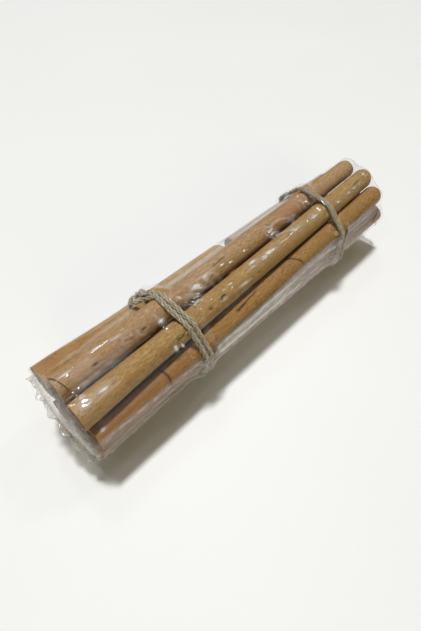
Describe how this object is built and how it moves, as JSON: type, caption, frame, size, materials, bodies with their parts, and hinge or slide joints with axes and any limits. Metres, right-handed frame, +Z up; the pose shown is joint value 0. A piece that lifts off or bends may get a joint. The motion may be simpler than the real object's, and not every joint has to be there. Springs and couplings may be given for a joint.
{
  "type": "bundle of cinnamon sticks",
  "caption": "Round bundle of long cinnamon quills tied with twine at two places and sealed in clear shrink film.",
  "frame": {"origin": "on the ground under the middle of the pack", "axes": "+X along the sticks, +Y to the back, +Z up"},
  "size_m": [0.1611, 0.0371, 0.038],
  "materials": {
    "bark": "dry rolled bark with fine grain along it",
    "twine": "twisted natural fibre",
    "film": "clear glossy shrink film"
  },
  "bodies": {
    "root": {"wrapped_bundle": "film"}
  },
  "joints": []
}
